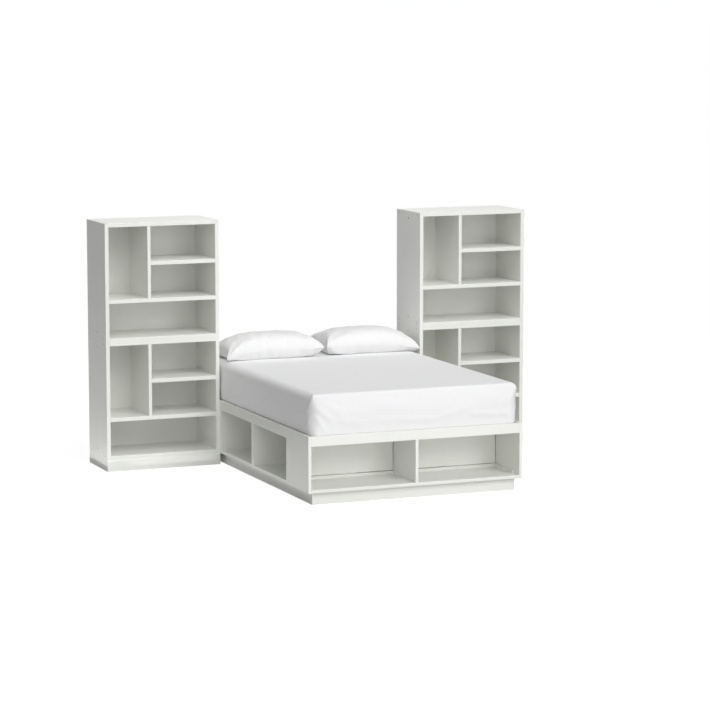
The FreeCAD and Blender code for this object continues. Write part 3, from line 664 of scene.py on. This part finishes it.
def make_pillow(name, node, left_corner, right_corner, seed, cotton):
    """A pillow in its case, blown up from a seamed start, then laid on the mattress in its node's place."""
    low, high = (np.array(corner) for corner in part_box(node))
    half = (high - low) / 2
    points, faces, cloth = filled_case(half, left_corner, right_corner)
    rng = np.random.default_rng(seed)
    points += rng.normal(0, CLOTH_UNEVENNESS, points.shape)
    made = mesh_object(name, points, faces)
    points = blow_up(made, points)
    place_points(made, points)
    points = laid_flat(points + mesh_normals(made) * slack_folds(cloth, half, rng)[:, None])
    reach = np.abs(points[:, :2]).max(axis=0)
    points[:, :2] *= half[:2] / reach
    points += np.array([*((low + high) / 2)[:2], low[2]])
    place_points(made, points)
    smoother = made.modifiers.new("smoother", "SUBSURF")
    smoother.levels = smoother.render_levels = 1
    made.data.materials.append(cotton)
    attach(made, BODY)
    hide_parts(node)


# ---------------------------------------------------------------- studio

FLOOR_HALF = 60.0
SOFT_BOXES = (
    # name, place, aimed at, width, height, watts
    ("overhead", (0.0, -0.46, 5.05), (0.0, -0.3, 0.55), 4.0, 4.0, 100.0),
    ("front_right", (4.08, -9.05, 3.14), (0.0, -0.3, 0.55), 3.0, 3.0, 66.8),
    ("low_front", (0.5, -7.0, 0.5), (0.0, -1.0, 0.2), 4.0, 0.9, 38.9),
    ("low_behind", (0.0, 4.0, 0.4), (0.0, 1.0, 0.4), 4.0, 0.7, 6.0),
    ("card_by_left_tower", (-1.82, 0.8, 0.03), (-1.82, 0.8, 1.0), 0.6, 1.0, 1.41),
    ("card_by_bed_side", (-1.05, -0.25, 0.03), (-1.05, -0.25, 1.0), 0.6, 1.7, 1.0),
    ("card_at_foot", (-0.3, -1.9, 0.03), (-0.3, -1.9, 1.0), 3.0, 1.2, 4.5),
)
WALLS_OF_LIGHT = (
    # name, degrees from straight in front towards the right, degrees up, strength
    ("left", -60, 20, 0.153),
    ("left_low", -20, 12, 0.305),
    ("left_high", -20, 40, 0.471),
    ("right_high", 20, 35, 1.235),
)
WALL_SPREAD = math.radians(35)
# How much light the floor throws back on the object, and what the camera sees of it: a white glow, and a
# little of its shadows.
FLOOR_WHITE = 0.6
FLOOR_SHADOWS = 0.2
FLOOR_GLOW = 0.93


def hang(name, kind, place, towards, strength):
    """A lamp that shines towards a point and isn't seen itself."""
    data = bpy.data.lights.new(name, kind)
    data.energy = strength
    lamp = bpy.data.objects.new(name, data)
    lamp.location = place
    lamp.rotation_euler = (Vector(towards) - Vector(place)).to_track_quat("-Z", "Y").to_euler()
    lamp.visible_camera = False
    bpy.context.scene.collection.objects.link(lamp)
    return data


def hang_lamps():
    """Soft boxes near the bed, and lit studio walls far from it, as suns with a wide spread."""
    for name, place, target, width, height, watts in SOFT_BOXES:
        box = hang(name, "AREA", place, target, watts)
        box.shape = "RECTANGLE"
        box.size = width
        box.size_y = height
    for name, to_right, up, strength in WALLS_OF_LIGHT:
        to_right = math.radians(to_right)
        up = math.radians(up)
        away = (math.sin(to_right) * math.cos(up), -math.cos(to_right) * math.cos(up), math.sin(up))
        hang(name, "SUN", away, (0, 0, 0), strength).angle = WALL_SPREAD


def seen_directly(tree):
    """1 on the rays that see the background: the camera's, and those of gloss and glass."""
    path = add(tree, "LightPath")
    both = add(tree, "Math", {0: path.outputs["Is Camera Ray"], 1: path.outputs["Is Glossy Ray"]},
               operation="MAXIMUM")
    return add(tree, "Math", {0: both.outputs[0], 1: path.outputs["Is Transmission Ray"]},
               operation="MAXIMUM").outputs[0]


def set_world():
    """A white background that is only seen, and lights nothing."""
    world = bpy.data.worlds.new("studio")
    world.use_nodes = True
    tree = world.node_tree
    tree.nodes.clear()
    glow = add(tree, "Background", {"Strength": seen_directly(tree)}, Color=(1, 1, 1, 1))
    add(tree, "OutputWorld", {"Surface": glow.outputs[0]})
    bpy.context.scene.world = world


def lay_floor():
    """A pale floor that lights the object from below, and looks white but for the object's shadow."""
    points = np.array([(-1, -1, 0), (1, -1, 0), (1, 1, 0), (-1, 1, 0)]) * FLOOR_HALF
    floor = mesh_object("floor", points, np.array([(0, 1, 2, 3)]), smooth=False)
    material = bpy.data.materials.new("white_studio_floor")
    material.use_nodes = True
    tree = material.node_tree
    tree.nodes.clear()
    real = add(tree, "BsdfDiffuse", Color=(FLOOR_WHITE, FLOOR_WHITE, FLOOR_WHITE, 1))
    shadowed = add(tree, "BsdfDiffuse", Color=(FLOOR_SHADOWS, FLOOR_SHADOWS, FLOOR_SHADOWS, 1))
    glow = add(tree, "Emission", Strength=FLOOR_GLOW)
    shown = add(tree, "AddShader", {0: shadowed.outputs[0], 1: glow.outputs[0]})
    mix = add(tree, "MixShader", {0: seen_directly(tree), 1: real.outputs[0], 2: shown.outputs[0]})
    add(tree, "OutputMaterial", {"Surface": mix.outputs[0]})
    floor.data.materials.append(material)


# ---------------------------------------------------------------- the scene

set_camera()
paint_boards()
cap_finish = moulded_polythene()
cover_cap("left_cover_cap", "left_tower_lower_right_side", -1, cap_finish)
cover_cap("right_cover_cap", "right_tower_lower_left_side", 1, cap_finish)
make_mattress()
# A pillow's two heights are those of its seam at the left and right corners, and the last number its seed.
case_cotton = woven_cotton("percale_cotton_case", "#EAEAEA", "#EFEFEF", 0.3)
make_pillow("left_pillow_in_case", "left_pillow", 16 * MM, 68 * MM, 3, case_cotton)
make_pillow("right_pillow_in_case", "right_pillow", 66 * MM, 18 * MM, 9, case_cotton)
hang_lamps()
set_world()
lay_floor()
bpy.context.scene.view_settings.view_transform = "Standard"
